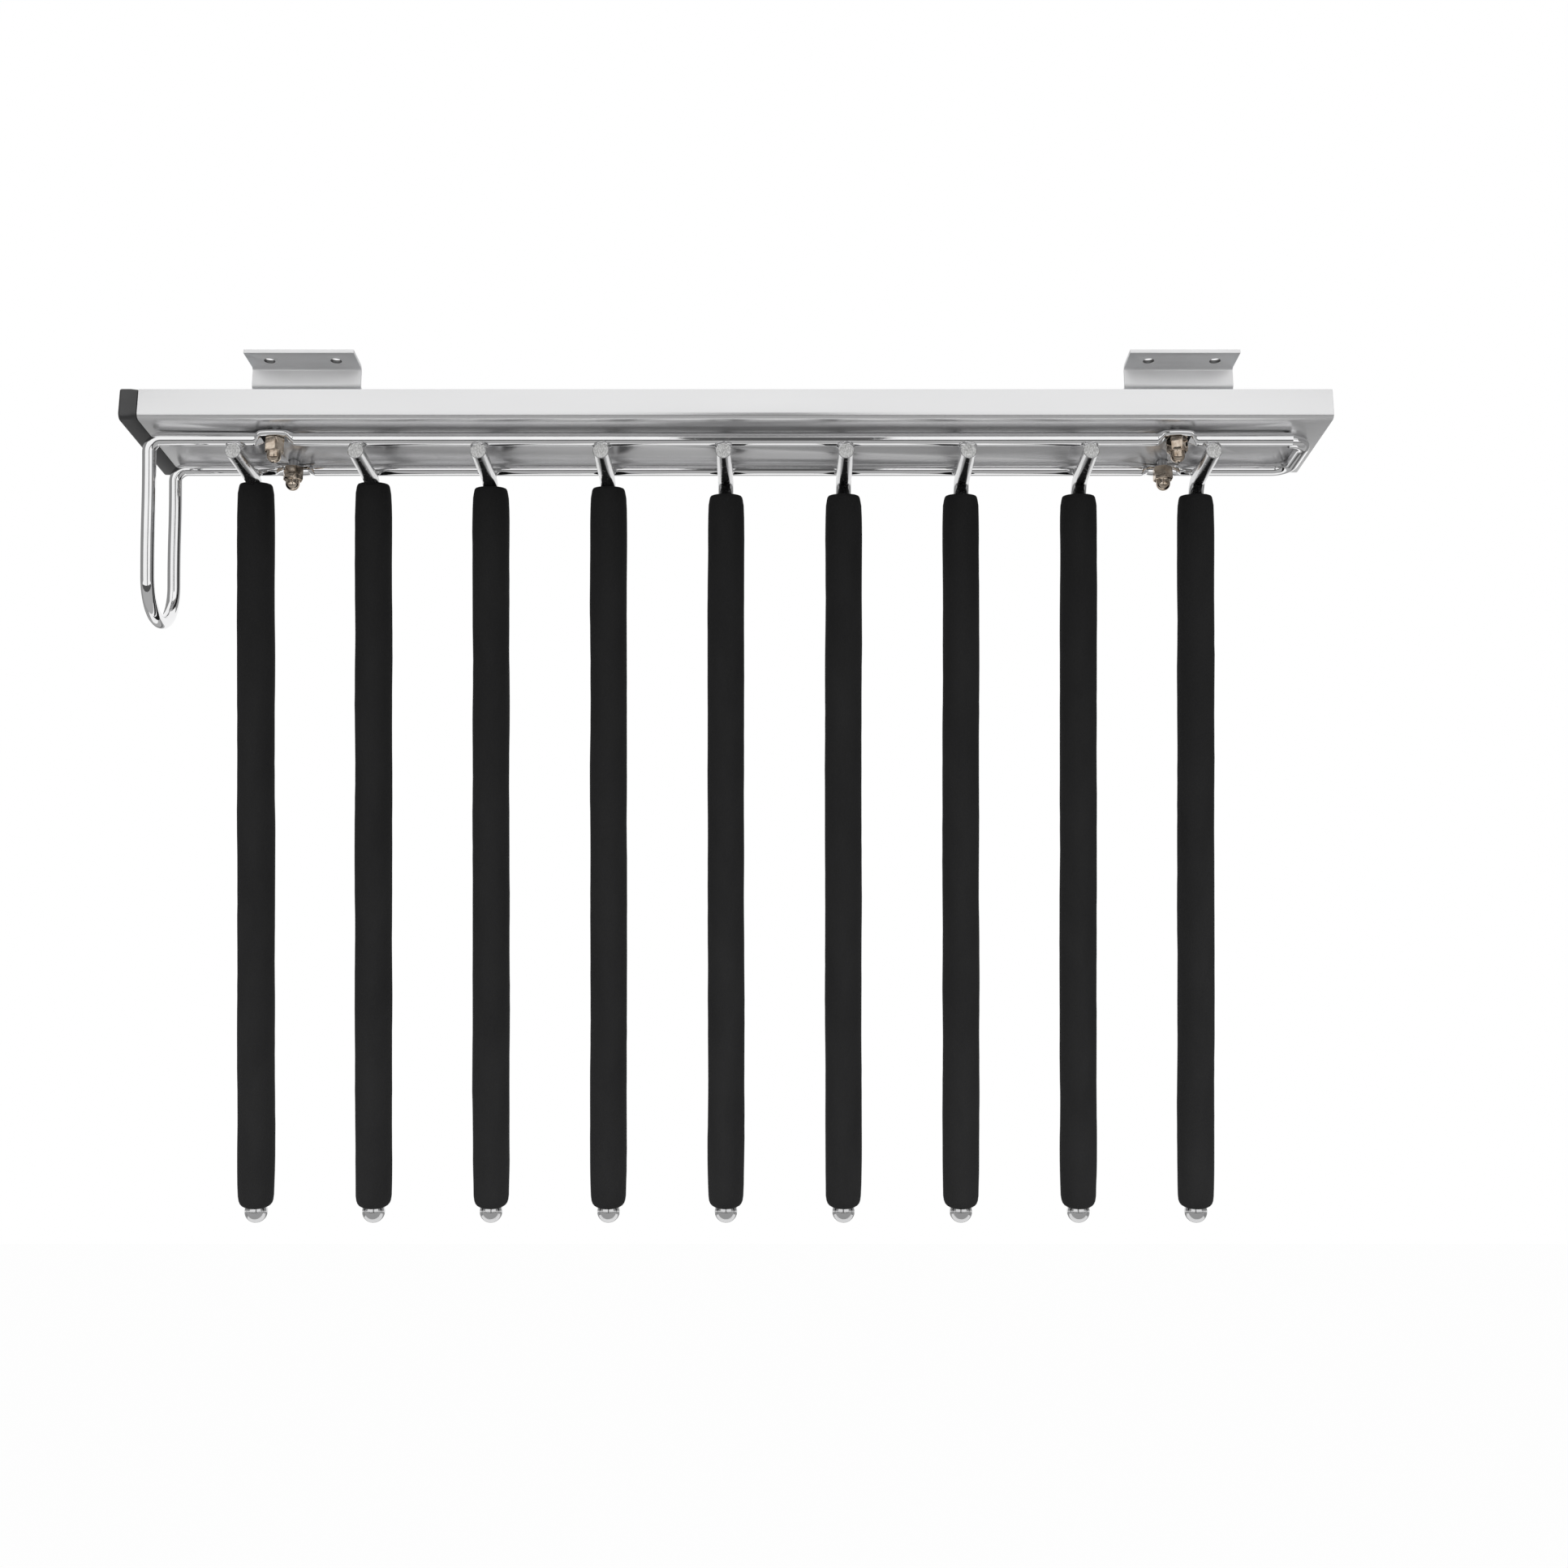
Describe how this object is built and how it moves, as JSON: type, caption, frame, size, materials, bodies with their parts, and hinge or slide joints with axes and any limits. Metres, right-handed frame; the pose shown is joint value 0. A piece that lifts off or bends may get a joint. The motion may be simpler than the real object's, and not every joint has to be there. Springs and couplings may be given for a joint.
{
  "type": "pull out trouser rack",
  "caption": "Side-mounted pull out trouser rack: ball-bearing slide under an aluminium cover, chromed wire frame with handle and foam-sleeved arms.",
  "frame": {"origin": "on the plane of the side panel that carries the rack, midway between the two brackets, on the middle line of the slide", "axes": "+X along the slide towards the rear, so the rack pulls out towards -X; +Z square to the side panel and into it, so the arms reach away from the panel along -Z; +Y is up when the panel stands upright, and the arms rise towards it by 12.9 degrees"},
  "size_m": [0.46, 0.1176, 0.3238],
  "materials": {
    "satin_aluminium": "satin anodised",
    "satin_steel": "satin silver",
    "zinc_steel": "zinc plated",
    "bright_steel": "bright",
    "chrome": "polished",
    "warm_nickel": "nickel plated",
    "black_plastic": "fine moulded grain",
    "black_foam": "matte closed-cell foam"
  },
  "bodies": {
    "panel_side": {"bracket_front": "satin_steel", "bracket_rear": "satin_steel", "rivet_front_1": "bright_steel", "rivet_front_2": "bright_steel", "rivet_rear_1": "bright_steel", "rivet_rear_2": "bright_steel", "outer_member": "zinc_steel"},
    "outer_cage": {"outer_ball_cage": "bright_steel"},
    "middle_slide": {"middle_member": "zinc_steel"},
    "inner_cage": {"inner_ball_cage": "bright_steel"},
    "carriage": {"inner_member": "zinc_steel", "cover": "satin_aluminium", "cover_screw_1": "bright_steel", "cover_screw_2": "bright_steel", "cover_screw_3": "bright_steel", "end_cap": "black_plastic", "wire_frame": "chrome", "frame_bolt_1": "bright_steel", "cap_nut_1": "warm_nickel", "frame_bolt_2": "bright_steel", "cap_nut_2": "warm_nickel", "frame_bolt_3": "bright_steel", "cap_nut_3": "warm_nickel", "frame_bolt_4": "bright_steel", "cap_nut_4": "warm_nickel", "arm_rod_1": "chrome", "foam_sleeve_1": "black_foam", "end_ball_1": "chrome", "arm_rod_2": "chrome", "foam_sleeve_2": "black_foam", "end_ball_2": "chrome", "arm_rod_3": "chrome", "foam_sleeve_3": "black_foam", "end_ball_3": "chrome", "arm_rod_4": "chrome", "foam_sleeve_4": "black_foam", "end_ball_4": "chrome", "arm_rod_5": "chrome", "foam_sleeve_5": "black_foam", "end_ball_5": "chrome", "arm_rod_6": "chrome", "foam_sleeve_6": "black_foam", "end_ball_6": "chrome", "arm_rod_7": "chrome", "foam_sleeve_7": "black_foam", "end_ball_7": "chrome", "arm_rod_8": "chrome", "foam_sleeve_8": "black_foam", "end_ball_8": "chrome", "arm_rod_9": "chrome", "foam_sleeve_9": "black_foam", "end_ball_9": "chrome"}
  },
  "joints": [
    {"name": "carriage_slide", "type": "slide", "parent": "panel_side", "child": "carriage", "axis": [-1, 0, 0], "range_m": [0, 0.43]},
    {"name": "middle_slide_travel", "type": "slide", "parent": "panel_side", "child": "middle_slide", "axis": [-1, 0, 0], "range_m": [0, 0.215]},
    {"name": "outer_cage_travel", "type": "slide", "parent": "panel_side", "child": "outer_cage", "axis": [-1, 0, 0], "range_m": [0, 0.1075]},
    {"name": "inner_cage_travel", "type": "slide", "parent": "panel_side", "child": "inner_cage", "axis": [-1, 0, 0], "range_m": [0, 0.3225]}
  ],
  "couplings": [
    {"joint": "middle_slide_travel", "follows": "carriage_slide", "ratio": 0.5},
    {"joint": "outer_cage_travel", "follows": "carriage_slide", "ratio": 0.25},
    {"joint": "inner_cage_travel", "follows": "carriage_slide", "ratio": 0.75}
  ]
}
